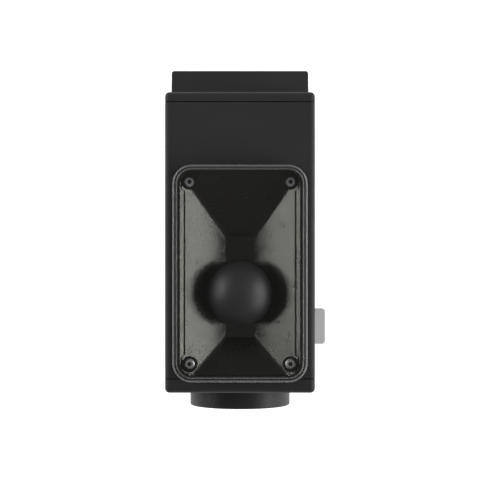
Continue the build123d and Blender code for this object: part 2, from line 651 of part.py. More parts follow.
def fixed_carrier():
    """Carrier of the fixed burr: slides on three guide pins and has the spindle's thread in its boss."""
    y0, y1 = FIXED_CARRIER_Y, FIXED_BACK_Y
    body = rod_y(CHAMBER_R - 0.3, y0, y1)
    body -= rod_y(BURR_HOLE_R, y1 - 3, y1 + 1)
    body -= rod_y(SPINDLE_R + RUN_FIT, y0 - 1, y1 + 1)
    body -= around_y(rod_y(GUIDE_R + 0.05, y0 - 1, y1 + 1, 0, AXIS_Z + GUIDE_PCD_R), 3)
    return body - around_y(rod_y(1.5, y0 - 1, y1 + 1, 0, AXIS_Z + BURR_SCREW_PCD_R), 3, 60)


def guide_pins():
    """Three pins in the front plate; they stop short of the burr when it is drawn fully back."""
    pin_end = FIXED_BACK_Y - ADJUST_TRAVEL - 0.6
    pin = rod_y(GUIDE_R - 0.01, FRONT_Y + 3, pin_end, 0, AXIS_Z + GUIDE_PCD_R)
    return together(around_y(pin, 3))


# ---------------------------------------------------------------- motor
def motor_can():
    y0, y1 = MOTOR_Y + MOTOR_END_T, MOTOR_REAR_Y - MOTOR_END_T
    return ring_y(MOTOR_R, MOTOR_R - MOTOR_WALL, y0, y1)


def motor_front_bell():
    """Front end bell, bolted to the bearing wall of the chamber."""
    bell = rod_y(MOTOR_R, MOTOR_Y, MOTOR_Y + MOTOR_END_T)
    bell += rod_y(FEED_OUT_R, BEARING_WALL_Y + 14, MOTOR_Y)
    bell -= rod_y(SHAFT_R + 1.0, BEARING_WALL_Y + 13, MOTOR_Y + MOTOR_END_T + 1)
    return bell - around_y(rod_y(3.0, MOTOR_Y - 1, MOTOR_Y + 6, 0, AXIS_Z + 24.5), 8, 22.5)


def motor_rear_bell():
    y = MOTOR_REAR_Y
    bell = rod_y(MOTOR_R, y - MOTOR_END_T, y) + rod_y(BEARING_R + 2.5, y - 12, y)
    bell -= rod_y(BEARING_R, y - 12 - 1, y - 4 + 0.02)
    bell -= rod_y(SHAFT_R + 1.0, y - 13, y + 1)
    return bell - around_y(rod_y(3.0, y - 6, y + 1, 0, AXIS_Z + 22.0), 8, 22.5)


STATOR_IN_R = 15.5
STATOR_Y = (MOTOR_Y + 16.0, MOTOR_REAR_Y - 24.0)
POLES = 9


def stator():
    """Laminated stator with poles that face the rotor."""
    core = ring_y(MOTOR_R - MOTOR_WALL - 0.02, 21.5, *STATOR_Y)
    pole = block(-1.8, 1.8, *STATOR_Y, AXIS_Z + STATOR_IN_R + 1, AXIS_Z + 22)
    shoe = block(-3.6, 3.6, *STATOR_Y, AXIS_Z + STATOR_IN_R + 0.2, AXIS_Z + STATOR_IN_R + 1.8)
    body = core + around_y(pole, POLES) + around_y(shoe, POLES)
    return body - rod_y(STATOR_IN_R, STATOR_Y[0] - 1, STATOR_Y[1] + 1)


def windings():
    """One copper coil round each stator pole."""
    y0, y1 = STATOR_Y
    coil = block(-3.4, 3.4, y0 - 3, y1 + 3, AXIS_Z + STATOR_IN_R + 2.0, AXIS_Z + 21.0)
    coil -= block(-1.9, 1.9, y0 - 0.1, y1 + 0.1, AXIS_Z + STATOR_IN_R, AXIS_Z + 24)
    return together(around_y(coil, POLES))


def rotor():
    """Magnet rotor, pressed on the shaft."""
    return ring_y(STATOR_IN_R - 0.6, SHAFT_R + 0.01, STATOR_Y[0] - 1, STATOR_Y[1] + 1)


def motor_cradle():
    """Saddle between the housing floor and the motor can, with a clamp strap round the can."""
    y0, y1 = MOTOR_Y + 22, MOTOR_Y + 52
    saddle = block(-24, 24, y0, y1, INNER_BOTTOM, AXIS_Z - 16)
    saddle -= block(-15, 15, y0 - 1, y1 + 1, INNER_BOTTOM - 1, INNER_BOTTOM + 14)
    strap = ring_y(MOTOR_R + 2.0, MOTOR_R - 1, y0 + 9, y1 - 9)
    return saddle + strap - rod_y(MOTOR_R + 0.05, y0 - 1, y1 + 1)


# ---------------------------------------------------------------- hopper, dome and lid
def funnel(grow=0.0):
    """Four sloping walls down to a flat floor, as a solid; grow makes its outside."""
    slope = HOPPER_DEPTH / (HOPPER_DEPTH - FRONT_DROP)
    front_y = FLOOR_FRONT_Y + slope * (HOPPER_FRONT_Y - FLOOR_FRONT_Y)
    top = Pos(0, (front_y + HOPPER_REAR_Y) / 2, HOUSING_TOP - grow) * Rectangle(
        2 * (HOPPER_HALF_X + grow), HOPPER_REAR_Y - front_y + 2 * grow)
    floor = Pos(0, (FLOOR_FRONT_Y + FLOOR_REAR_Y) / 2, FLOOR_Z - grow) * Rectangle(
        2 * (FLOOR_HALF_X + grow), FLOOR_REAR_Y - FLOOR_FRONT_Y + 2 * grow)
    solid = loft([floor.face(), top.face()], ruled=True)
    creases = [e for e in solid.edges() if e.bounding_box().size.Z > 1]
    return fillet(creases, CREASE_R + grow)


def hopper_prism(grow, z0, z1):
    """A block with the mouth's outline, made larger all round; the wide outlines grow less at the ends."""
    ends = grow - END_LESS if grow > HOPPER_WALL else grow
    return slab_z(HOPPER_HALF_X + grow, HOPPER_FRONT_Y - ends, HOPPER_REAR_Y + ends, HOPPER_R + ends, z0, z1)


def pocket_places():
    return [(sx * POCKET_X, y) for sx in (-1, 1) for y in POCKET_Y]


def hopper():
    """Funnel with a flange on the housing, screw pockets in its corners and a round well over the throat."""
    inside = funnel() & hopper_prism(0, FLOOR_Z - 1, HOUSING_TOP + 1)
    rim_bottom = POCKET_Z - 3
    body = funnel(HOPPER_WALL) & hopper_prism(HOPPER_WALL, FLOOR_Z - HOPPER_WALL - 1, HOUSING_TOP)
    body += hopper_prism(HOPPER_WALL, rim_bottom, HOUSING_TOP) - funnel(0.5)
    body += hopper_prism(FLANGE_OVER, HOUSING_TOP, HOUSING_TOP + FLANGE_T)
    body += hopper_prism(LIP_T, HOUSING_TOP + FLANGE_T, HOUSING_TOP + FLANGE_T + LIP_H)
    body += Pos(0, DOME_Y, (FLOOR_Z + FEED_TOP_Z) / 2) * Cone(
        FEED_R + HOPPER_WALL, DISH_R + HOPPER_WALL, FLOOR_Z - FEED_TOP_Z)
    body += rod_z(DISH_R + HOPPER_WALL, FLOOR_Z - HOPPER_WALL, FLOOR_Z + WELL_H, 0, DOME_Y)
    for x, y in pocket_places():
        body += rod_z(POCKET_R + 1.5, rim_bottom, HOUSING_TOP - 1, x, y) & hopper_prism(
            HOPPER_WALL, rim_bottom, HOUSING_TOP)
        body += rod_z(4.0, LUG_TOP, rim_bottom, x, y)
    body -= inside
    body -= hopper_prism(0, HOUSING_TOP - 0.5, HOUSING_TOP + 10)
    body -= Pos(0, DOME_Y, (FLOOR_Z + FEED_TOP_Z) / 2) * Cone(FEED_R, DISH_R, FLOOR_Z - FEED_TOP_Z)
    body -= rod_z(DISH_R, FLOOR_Z - 0.01, FLOOR_Z + WELL_H + 1, 0, DOME_Y)
    for x, y in pocket_places():
        body -= rod_z(POCKET_R, POCKET_Z, HOUSING_TOP + 5, x, y) & hopper_prism(0, 0, HOUSING_TOP + 5)
        body -= rod_z(2.0, LUG_TOP - 1, POCKET_Z + 1, x, y)
    return body


def six_lobes(r, depth):
    """A six-lobed socket's outline, as a solid from z = 0."""
    outline = Circle(0.62 * r)
    for i in range(3):
        outline += Rot(0, 0, 60 * i) * RectangleRounded(2 * r, 0.62 * r, 0.3 * r)
    return extrude(outline, depth)


def hopper_screws():
    """Pan-head screws with six-lobed sockets, in the hopper's corner pockets."""
    screws = []
    for x, y in pocket_places():
        head = fillet(edges_on_z(rod_z(SCREW_HEAD_R, POCKET_Z, POCKET_Z + 2.4, x, y), POCKET_Z + 2.4), 1.3)
        socket = Pos(x, y, POCKET_Z + 1.0) * six_lobes(1.75, 2)
        screws.append(head + rod_z(1.8, POCKET_Z - 12, POCKET_Z + 0.5, x, y) - socket)
    return together(screws)


def hopper_lugs():
    """Four lugs on the side walls that the hopper's screws pull against."""
    lugs = []
    for x, y in pocket_places():
        wall = math.copysign(INNER_W / 2 - 0.1, x)
        inner = x - math.copysign(2.9, x)
        lug = block(*sorted((wall, inner)), y - 5, y + 5, LUG_TOP - 6, LUG_TOP)
        lugs.append(lug - rod_z(1.8, LUG_TOP - 7, LUG_TOP + 1, x, y))
    return together(lugs)


def feed_dome():
    """Dome over the throat, on two legs that stand on the hopper's floor."""
    sphere_r = (DOME_R ** 2 + DOME_H ** 2) / (2 * DOME_H)
    centre_z = DOME_RIM_Z + DOME_H - sphere_r
    centre = Pos(0, DOME_Y, centre_z)
    above = rod_z(DOME_R + 5, DOME_RIM_Z, DOME_RIM_Z + DOME_H + 1, 0, DOME_Y)
    cap = (centre * Sphere(sphere_r) - centre * Sphere(sphere_r - DOME_WALL)) & above
    half = DOME_LEG_W / 2
    for turn in (0, 180):
        leg = block(-half, half, DISH_R + 0.3, DOME_R - 0.9, FLOOR_Z, DOME_RIM_Z + 5)
        leg = Pos(0, DOME_Y, 0) * Rot(0, 0, turn) * leg
        cap += leg & (centre * Sphere(sphere_r - 0.5) + rod_z(DOME_R, FLOOR_Z, DOME_RIM_Z, 0, DOME_Y))
    return cap


LID_Z = HOUSING_TOP + FLANGE_T
GASKET_T = 0.8


def lid():
    """Clear lid: a flat top with upright walls that stand on the gasket round the hopper's lip."""
    z0, z1 = LID_Z + GASKET_T, HOUSING_TOP + LID_H
    body = hopper_prism(LID_OVER, z0, z1)
    body = fillet(edges_on_z(body, z1), 1.6)
    cavity = hopper_prism(LID_OVER - LID_WALL, z0 - 1, z1 - LID_WALL)
    cavity = fillet(edges_on_z(cavity, z1 - LID_WALL), 1.2)
    return body - cavity


def lid_gasket():
    return hopper_prism(LID_OVER - 0.6, LID_Z, LID_Z + GASKET_T) - hopper_prism(
        LID_OVER - LID_WALL + 0.1, LID_Z - 1, LID_Z + 2)


# ---------------------------------------------------------------- dial
def dial():
    """Hollow knob on the spindle, with dimples for the detent ball round its back rim."""
    body = rod_y(DIAL_R, DIAL_FRONT_Y, DIAL_BACK_Y)
    body = fillet(edges_on_y(body, DIAL_FRONT_Y), DIAL_EDGE_R)
    body -= ring_y(DIAL_R - 9, SPINDLE_R + 5, DIAL_FRONT_Y + DIAL_WALL, DIAL_BACK_Y + 1)
    body -= rod_y(SPINDLE_R + 0.01, DIAL_FRONT_Y + DIAL_WALL, DIAL_BACK_Y + 1)
    body -= rod_y(1.7, DIAL_FRONT_Y - 1, DIAL_FRONT_Y + DIAL_WALL + 1)
    body -= rod_y(4.2, DIAL_FRONT_Y - 1, DIAL_FRONT_Y + 1.8)
    dimple = Pos(0, DIAL_BACK_Y + 0.6, AXIS_Z - DETENT_PCD_R) * Sphere(1.5)
    body -= around_y(dimple, DETENTS)
    notch = block(-0.7, 0.7, DIAL_FRONT_Y - 1, DIAL_FRONT_Y + 0.5, AXIS_Z + DIAL_R - 10, AXIS_Z + DIAL_R - 3)
    return body - notch


def dial_screw():
    """Centre screw that clamps the dial to its spindle."""
    return screw_y(0, AXIS_Z, DIAL_FRONT_Y + 1.8, 9, 1.5, 2.9, 0.8)


def adjusting_spindle():
    """Threaded spindle between the dial and the fixed carrier, with a collar behind the front plate."""
    y0 = DIAL_FRONT_Y + DIAL_WALL
    spindle = rod_y(SPINDLE_R, y0, FIXED_BACK_Y - 0.6)
    spindle += rod_y(SPINDLE_R + 4, FRONT_Y + FRONT_PLATE_T + 0.05, FRONT_Y + FRONT_PLATE_T + 1.6)
    return spindle - rod_y(1.5, y0 - 1, y0 + 10)


def detent_ball():
    y = DIAL_BACK_Y + DETENT_R + 0.15
    return Pos(0, y, AXIS_Z - DETENT_PCD_R) * Sphere(DETENT_R)


def coil(radius, wire, turns, height):
    """A coil spring along +Z from z = 0."""
    path = Helix(pitch=height / turns, height=height, radius=radius)
    start = Plane(origin=path @ 0, z_dir=path % 0)
    return sweep(start * Circle(wire), path=path, is_frenet=True)


def detent_spring():
    y0 = DIAL_BACK_Y + 2 * DETENT_R + 0.25
    y1 = FRONT_Y + 7.5
    wire = 0.3
    spring = coil(DETENT_R - wire - 0.1, wire, 4, y1 - y0 - 2 * wire - 0.1)
    return Pos(0, y1 - wire - 0.05, AXIS_Z - DETENT_PCD_R) * Rot(90, 0, 0) * spring


# ---------------------------------------------------------------- chute and knocker
def chute():
    """Plastic chute from the chamber's neck down through the housing floor."""
    top = AXIS_Z - CHAMBER_OUT_R + 2
    x, y = CHUTE_HALF_X, CHUTE_HALF_Y
    low = rod_z(x - 0.5, CHUTE_OUT_Z, HOUSING_BOTTOM - 2, 0, CHUTE_Y)
    body = block(-x, x, CHUTE_Y - y, CHUTE_Y + y, HOUSING_BOTTOM - 2, top - 3.2)
    body += block(-x - 5, x + 5, CHUTE_Y - y - 3, CHUTE_Y + y + 3, INNER_BOTTOM, INNER_BOTTOM + 2)
    body += low
    body -= block(-x + CHUTE_WALL, x - CHUTE_WALL, CHUTE_Y - y + CHUTE_WALL, CHUTE_Y + y - CHUTE_WALL,
                  HOUSING_BOTTOM - 1, top + 1)
    return body - rod_z(x - CHUTE_WALL - 0.5, CHUTE_OUT_Z - 1, HOUSING_BOTTOM, 0, CHUTE_Y)


def knocker_arm():
    """Lever with a flat tab outside the housing and a hammer against the chute."""
    y0, y1 = CHUTE_Y - KNOCKER_W / 2, CHUTE_Y + KNOCKER_W / 2
    z0, z1 = KNOCKER_Z - KNOCKER_T / 2, KNOCKER_Z + KNOCKER_T / 2
    tab = block(KNOCKER_PIVOT_X, KNOCKER_OUT, y0, y1, z0, z1)
    upright = [e for e in tab.edges() if e.bounding_box().size.Z > 1]
    corners = [e for e in upright if e.bounding_box().min.X > KNOCKER_OUT - 1]
    tab = fillet(corners, 2.6)
    tab = fillet([e for e in edges_on_z(tab, z1) + edges_on_z(tab, z0)
                  if e.bounding_box().max.X > KNOCKER_OUT - 4], 0.9)
    arm = tab + rod_y(4.0, y0 + 4, y1 - 4, KNOCKER_PIVOT_X, KNOCKER_Z)
    finger_z = KNOCKER_Z - HAMMER_DROP - 0.5
    arm += block(CHUTE_HALF_X + 6, KNOCKER_PIVOT_X, CHUTE_Y - 5, CHUTE_Y + 5, finger_z - 4, finger_z)
    arm += block(KNOCKER_PIVOT_X - 4, KNOCKER_PIVOT_X, CHUTE_Y - 5, CHUTE_Y + 5, finger_z - 4, KNOCKER_Z)
    arm -= rod_y(PIVOT_R + 2.2, y1 - 4, y1 + 1, KNOCKER_PIVOT_X, KNOCKER_Z)
    return arm - rod_y(PIVOT_R + RUN_FIT, y0 - 1, y1 + 1, KNOCKER_PIVOT_X, KNOCKER_Z)


def knocker_hammer():
    """Rubber pad on the arm's inner end, which strikes the chute."""
    x = CHUTE_HALF_X + 6
    top = KNOCKER_Z - HAMMER_DROP
    return block(x - HAMMER_T, x, CHUTE_Y - 4, CHUTE_Y + 4, top - 5, top)


def knocker_pin():
    half = KNOCKER_W / 2 + EAR_GAP + EAR_T
    return rod_y(PIVOT_R, CHUTE_Y - half, CHUTE_Y + half, KNOCKER_PIVOT_X, KNOCKER_Z)


def knocker_bracket():
    """Two ears on a foot that carry the knocker's pin."""
    x = KNOCKER_PIVOT_X
    half = KNOCKER_W / 2 + EAR_GAP + EAR_T
    y0, y1 = CHUTE_Y - half, CHUTE_Y + half
    body = block(x - 7, x + 7, y0, y1, INNER_BOTTOM, INNER_BOTTOM + 2)
    for a, b in ((y0, y0 + EAR_T), (y1 - EAR_T, y1)):
        ear = block(x - 4.5, x + 4.5, a, b, INNER_BOTTOM, KNOCKER_Z) + rod_y(4.5, a, b, x, KNOCKER_Z)
        body += ear - rod_y(PIVOT_R, a - 1, b + 1, x, KNOCKER_Z)
    return body


def knocker_spring():
    """Return spring round the knocker's pin."""
    y0, y1 = CHUTE_Y + KNOCKER_W / 2 - 3.6, CHUTE_Y + KNOCKER_W / 2 - 0.9
    wire = 0.4
    spring = coil(PIVOT_R + wire + 0.5, wire, 2.5, y1 - y0)
    return Pos(KNOCKER_PIVOT_X, y1, KNOCKER_Z) * Rot(90, 0, 0) * spring


# ---------------------------------------------------------------- start button
def start_button():
    """Push button in the right-hand wall, with a flange inside the wall and a stem to the switch."""
    x = HOUSING_W / 2
    cap = rod_x(BUTTON_R, x - HOUSING_WALL - 3, x + BUTTON_OUT, BUTTON_Y, BUTTON_Z)
    cap = fillet(edges_on_x(cap, x + BUTTON_OUT), 0.6)
    cap += rod_x(BUTTON_R + 1.4, x - HOUSING_WALL - 2.2, x - HOUSING_WALL - 0.3, BUTTON_Y, BUTTON_Z)
    return cap + rod_x(2.0, x - HOUSING_WALL - 6, x - HOUSING_WALL - 2, BUTTON_Y, BUTTON_Z)


def button_switch():
    """Switch with a round socket against the wall, which guides the button."""
    x = HOUSING_W / 2 - HOUSING_WALL
    body = rod_x(BUTTON_R + 3.5, x - 10, x, BUTTON_Y, BUTTON_Z)
    body -= rod_x(BUTTON_R + 1.7, x - 7.6, x + 1, BUTTON_Y, BUTTON_Z)
    return body + block(x - 18, x - 10, BUTTON_Y - 6, BUTTON_Y + 6, BUTTON_Z - 6, BUTTON_Z + 6)


# ---------------------------------------------------------------- grounds cup
CUP_RIM_Z = CUP_TOP - CUP_LID_T


def grounds_cup():
    """Drawn cup with a rounded foot and a recess for its magnet."""
    body = rod_z(CUP_R, BASE_TOP, CUP_RIM_Z, 0, CHUTE_Y)
    body = fillet(edges_on_z(body, BASE_TOP), 3.0)
    inside = rod_z(CUP_R - CUP_WALL, BASE_TOP + MAGNET_T + 2.4, CUP_RIM_Z + 1, 0, CHUTE_Y)
    inside = fillet(edges_on_z(inside, BASE_TOP + MAGNET_T + 2.4), 3.0)
    body -= inside
    return body - rod_z(CUP_MAGNET_R + 0.1, BASE_TOP - 1, BASE_TOP + 0.5 + MAGNET_T, 0, CHUTE_Y)


def cup_magnet():
    return rod_z(CUP_MAGNET_R, BASE_TOP + 0.5, BASE_TOP + 0.5 + MAGNET_T, 0, CHUTE_Y)


def cup_lid():
    """Lid with a round mouth under the chute and a skirt inside the cup."""
    body = rod_z(CUP_R, CUP_RIM_Z, CUP_TOP, 0, CHUTE_Y)
    body = fillet(edges_on_z(body, CUP_TOP), 1.5)
    skirt = rod_z(CUP_R - CUP_WALL - 0.15, CUP_RIM_Z - 6, CUP_RIM_Z, 0, CHUTE_Y)
    skirt -= rod_z(CUP_R - CUP_WALL - 2, CUP_RIM_Z - 7, CUP_RIM_Z, 0, CHUTE_Y)
    return body + skirt - rod_z(CUP_MOUTH_R, CUP_RIM_Z - 1, CUP_TOP + 1, 0, CHUTE_Y)


# ---------------------------------------------------------------- all pieces
def pieces():
    """Each node's name and the function that makes it."""
    return {
        "foot_pad": foot_pad,
        "base_plate": base_plate,
        "base_magnet": base_magnet,
        "base_screws": base_screws,
        "column": column,
        "rear_cover": rear_cover,
        "rear_cover_screws": rear_cover_screws,
        "cord_gland": cord_gland,
        "control_board": control_board,
        "board_components": board_components,
        "board_bracket": board_bracket,
        "board_screws": board_screws,
        "housing_shell": housing_shell,
        "housing_screws": housing_screws,
        "front_plate": front_plate,
        "rear_plate": rear_plate,
        "plate_screws": plate_screws,
        "burr_chamber": burr_chamber,
        "front_bearing": lambda: bearing(SEAT_Y + 0.02),
        "rear_bearing": lambda: bearing(MOTOR_REAR_Y - 12),
        "shaft_seal": shaft_seal,
        "drive_shaft": drive_shaft,
        "auger": auger,
        "rotating_burr": lambda: burr(GRIND_Y, CARRIER_Y, -1),
        "rotating_burr_screws": lambda: burr_screws(GRIND_Y, True),
        "rotating_carrier": rotating_carrier,
        "carrier_nut": carrier_nut,
        "fixed_burr": lambda: burr(FIXED_FACE_Y, FIXED_BACK_Y, 1),
        "fixed_burr_screws": lambda: burr_screws(FIXED_FACE_Y, False),
        "fixed_carrier": fixed_carrier,
        "guide_pins": guide_pins,
        "motor_can": motor_can,
        "motor_front_bell": motor_front_bell,
        "motor_rear_bell": motor_rear_bell,
        "stator": stator,
        "windings": windings,
        "rotor": rotor,
        "motor_cradle": motor_cradle,
        "hopper": hopper,
        "hopper_screws": hopper_screws,
        "hopper_lugs": hopper_lugs,
        "feed_dome": feed_dome,
        "lid": lid,
        "lid_gasket": lid_gasket,
        "dial": dial,
        "dial_screw": dial_screw,
        "adjusting_spindle": adjusting_spindle,
        "detent_ball": detent_ball,
        "detent_spring": detent_spring,
        "chute": chute,
        "knocker_arm": knocker_arm,
        "knocker_hammer": knocker_hammer,
        "knocker_pin": knocker_pin,
        "knocker_bracket": knocker_bracket,
        "knocker_spring": knocker_spring,
        "start_button": start_button,
        "button_switch": button_switch,
        "grounds_cup": grounds_cup,
        "cup_magnet": cup_magnet,
        "cup_lid": cup_lid,
    }


os.makedirs("parts", exist_ok=True)
for name, make in pieces().items():
    export_step(make(), f"parts/{name}.step")
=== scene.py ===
"""Looks of the burr coffee grinder: materials, dial markings, floor, lights and camera."""

import json
import math

import bpy
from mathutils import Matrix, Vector


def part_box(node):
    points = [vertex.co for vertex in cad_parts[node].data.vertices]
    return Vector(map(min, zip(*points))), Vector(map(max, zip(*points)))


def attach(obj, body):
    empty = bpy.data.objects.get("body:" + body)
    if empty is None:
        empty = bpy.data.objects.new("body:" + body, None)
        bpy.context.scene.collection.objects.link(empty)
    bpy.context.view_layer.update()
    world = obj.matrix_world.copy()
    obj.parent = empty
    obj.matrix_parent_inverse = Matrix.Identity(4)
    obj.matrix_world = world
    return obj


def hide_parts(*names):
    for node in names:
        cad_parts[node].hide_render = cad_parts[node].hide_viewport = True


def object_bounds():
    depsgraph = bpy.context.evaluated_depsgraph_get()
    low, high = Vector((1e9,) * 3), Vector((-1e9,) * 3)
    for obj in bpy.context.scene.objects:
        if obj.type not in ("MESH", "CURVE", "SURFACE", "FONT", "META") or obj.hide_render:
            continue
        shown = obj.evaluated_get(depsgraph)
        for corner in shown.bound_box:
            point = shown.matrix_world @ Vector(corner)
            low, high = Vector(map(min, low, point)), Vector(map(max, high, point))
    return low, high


MM = 0.001

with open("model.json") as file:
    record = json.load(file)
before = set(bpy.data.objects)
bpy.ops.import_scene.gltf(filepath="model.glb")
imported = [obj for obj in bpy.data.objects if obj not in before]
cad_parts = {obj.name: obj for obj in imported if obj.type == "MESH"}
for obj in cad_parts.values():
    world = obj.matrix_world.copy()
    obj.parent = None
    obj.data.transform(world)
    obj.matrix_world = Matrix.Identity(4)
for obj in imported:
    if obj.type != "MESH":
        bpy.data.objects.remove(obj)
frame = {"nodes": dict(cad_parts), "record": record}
CAD_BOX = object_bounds()

# ---------------------------------------------------------------- camera
CAMERA_ABOVE_HOUSING = 1100 * MM
CAMERA_Y = -8.5 * MM
SENSOR = 36.0
VIEW_WIDTH = 332.0 * MM

# ---------------------------------------------------------------- floor and light, in metres and watts
FLOOR_HALF = 3.0
FLOOR_GAP = 0.2 * MM
FLOOR_GLOW = 0.75
WORLD_STRENGTH = 0.15
LIGHT_AIM = (0, 0, 0.2)
SOFT_LIGHTS = (
    # name, place, width, height, watts
    ("Right_box", (1.3, -0.06, 0.70), 1.7, 0.52, 20),
    ("Left_box", (-1.3, 0.36, 0.70), 1.2, 0.52, 12.5),
    ("Front_fill", (0, -1.8, 0.22), 1.6, 0.35, 3),
    ("Rear_fill", (0, 1.8, 0.22), 1.6, 0.35, 3),
)

# ---------------------------------------------------------------- finish
SATIN_IOR = 1.30
# Painted shade: depths below the screw tops over which the hopper screws fade from bright plating to near
# black.
SOCKET_SHADE_DEPTH = (0.8 * MM, 1.2 * MM)
WIRE_BANDS = 420.0
WIRE_WOBBLE = 1.2
SHEET_BANDS = 300.0
TRACK_CELLS = 190.0


# ---------------------------------------------------------------- node helpers
class Shader:
    """One material's node tree, with short calls for the nodes used here."""

    def __init__(self, name):
        self.material = bpy.data.materials.new(name)
        self.material.use_nodes = True
        self.nodes = self.material.node_tree.nodes
        self.links = self.material.node_tree.links
        self.bsdf = self.nodes["Principled BSDF"]
        self.place = self.nodes.new("ShaderNodeTexCoord").outputs["Object"]

    def noise(self, size, detail=2.0, stretch=(1, 1, 1)):
        """Noise whose grains are about this many millimetres across."""
        mapping = self.nodes.new("ShaderNodeMapping")
        mapping.inputs["Scale"].default_value = stretch
        self.links.new(self.place, mapping.inputs["Vector"])
        noise = self.nodes.new("ShaderNodeTexNoise")
        noise.inputs["Scale"].default_value = 1.0 / (size * MM)
        noise.inputs["Detail"].default_value = detail
        noise.inputs["Roughness"].default_value = 0.5
        self.links.new(mapping.outputs["Vector"], noise.inputs["Vector"])
        return noise.outputs["Fac"]

    def ramp(self, value, low, high, start=0.3, end=0.7):
        """A value turned into a number or a colour between low and high."""
        ramp = self.nodes.new("ShaderNodeValToRGB")
        ramp.color_ramp.elements[0].position = start
        ramp.color_ramp.elements[1].position = end
        for element, shade in zip(ramp.color_ramp.elements, (low, high)):
            element.color = (*shade, 1) if isinstance(shade, tuple) else (shade, shade, shade, 1)
        self.links.new(value, ramp.inputs["Fac"])
        return ramp.outputs["Color"]

    def colour(self, value, low, high, start=0.3, end=0.7):
        self.links.new(self.ramp(value, low, high, start, end), self.bsdf.inputs["Base Color"])

    def roughness(self, value, low, high):
        self.links.new(self.ramp(value, low, high), self.bsdf.inputs["Roughness"])

    def bump(self, value, depth):
        """Relief of this many millimetres; a second call adds to the first."""
        bump = self.nodes.new("ShaderNodeBump")
        bump.inputs["Strength"].default_value = 1.0
        bump.inputs["Distance"].default_value = depth * MM
        earlier = self.bsdf.inputs["Normal"].links
        if earlier:
            self.links.new(earlier[0].from_socket, bump.inputs["Normal"])
        self.links.new(value, bump.inputs["Height"])
        self.links.new(bump.outputs["Normal"], self.bsdf.inputs["Normal"])

    def bands(self, direction, scale, wobble=0.0):
        """Parallel bands across one axis."""
        wave = self.nodes.new("ShaderNodeTexWave")
        wave.bands_direction = direction
        wave.inputs["Scale"].default_value = scale
        wave.inputs["Distortion"].default_value = wobble
        self.links.new(self.place, wave.inputs["Vector"])
        return wave.outputs["Fac"]

    def see_through(self, blend, low, high, start, end):
        """Alpha that rises from low where the surface faces the eye to high where it is edge on."""
        facing = self.nodes.new("ShaderNodeLayerWeight")
        facing.inputs["Blend"].default_value = blend
        alpha = self.ramp(facing.outputs["Facing"], low, high, start, end)
        self.links.new(alpha, self.bsdf.inputs["Alpha"])

    def put(self, **values):
        """Constants on the shader's own sockets, such as metallic=1.0."""
        for name, value in values.items():
            self.bsdf.inputs[name.replace("_", " ").title()].default_value = value


def shade(grey, tint=(1.0, 1.0, 1.0)):
    return tuple(grey * t for t in tint)


# ---------------------------------------------------------------- materials
def powder_coat(name, grey, tint, rough):
    """Fine-textured black powder coat: tiny even grain, with faint broad unevenness."""
    s = Shader(name)
    s.colour(s.noise(45, 3), shade(grey * 0.94, tint), shade(grey * 1.06, tint))
    s.roughness(s.noise(6, 3), rough - 0.04, rough + 0.04)
    s.bump(s.noise(0.55, 2), 0.012)
    s.bump(s.noise(2.6, 2), 0.010)
    s.bsdf.inputs["IOR"].default_value = SATIN_IOR
    return s.material


def anodised(name, grey):
    """Satin black anodised aluminium, with fine turning lines round the dial's axis."""
    s = Shader(name)
    s.colour(s.noise(20, 2), shade(grey * 0.92), shade(grey * 1.08))
    s.roughness(s.noise(3, 2), 0.44, 0.50)
    s.bump(s.noise(0.35, 2, stretch=(0.15, 3.0, 0.15)), 0.004)
    s.bsdf.inputs["IOR"].default_value = SATIN_IOR
    return s.material


def moulded(name, low, high, rough, grain=0.5, depth=0.008, ior=1.5, gloss_tint=(1.0, 1.0, 1.0)):
    """Injection-moulded plastic with a fine spark-eroded grain."""
    s = Shader(name)
    s.colour(s.noise(30, 3), low, high)
    s.roughness(s.noise(9, 2), rough - 0.02, rough + 0.03)
    s.bump(s.noise(grain, 1), depth)
    s.bsdf.inputs["IOR"].default_value = ior
    s.bsdf.inputs["Specular Tint"].default_value = (*gloss_tint, 1)
    return s.material


def cast_metal(name):
    """Die-cast aluminium: pale, slightly pitted, with flow marks."""
    s = Shader(name)
    s.colour(s.noise(12, 5), (0.36, 0.37, 0.38), (0.52, 0.53, 0.54))
    s.roughness(s.noise(4, 4), 0.38, 0.58)
    s.bump(s.noise(0.9, 4), 0.03)
    s.bump(s.noise(5, 2), 0.03)
    s.put(metallic=1.0)
    return s.material


def ground_steel(name):
    """Machined steel with fine grinding lines."""
    s = Shader(name)
    s.colour(s.noise(8, 3), (0.48, 0.47, 0.45), (0.62, 0.61, 0.59))
    s.roughness(s.noise(1.5, 3, stretch=(1, 6, 1)), 0.22, 0.36)
    s.bump(s.noise(0.4, 2, stretch=(0.3, 6, 0.3)), 0.005)
    s.put(metallic=1.0)
    return s.material


def screw_metal(name):
    """Bright plated screws with a little uneven tarnish."""
    s = Shader(name)
    s.colour(s.noise(1.6, 4), (0.42, 0.42, 0.41), (0.72, 0.72, 0.70))
    s.roughness(s.noise(0.8, 3), 0.16, 0.30)
    s.bump(s.noise(0.5, 2), 0.008)
    s.put(metallic=1.0)
    return s.material


def socket_screw(name, top):
    """Plated screws with painted shade: dark below a height in the frame, in the sockets and low on the
    heads' sides.
    """
    s = Shader(name)
    height = s.nodes.new("ShaderNodeSeparateXYZ")
    s.links.new(s.place, height.inputs["Vector"])
    depth = s.nodes.new("ShaderNodeMapRange")
    depth.inputs["From Min"].default_value = top - SOCKET_SHADE_DEPTH[1]
    depth.inputs["From Max"].default_value = top - SOCKET_SHADE_DEPTH[0]
    s.links.new(height.outputs["Z"], depth.inputs["Value"])
    # Painted shade: near black in the sockets and low on the heads, bright plating on the tops.
    s.colour(depth.outputs["Result"], (0.030, 0.028, 0.025), (0.84, 0.84, 0.83), 0.2, 0.8)
    s.roughness(s.noise(0.8, 3), 0.20, 0.30)
    s.bump(s.noise(0.5, 2), 0.004)
    s.put(metallic=0.6)
    return s.material


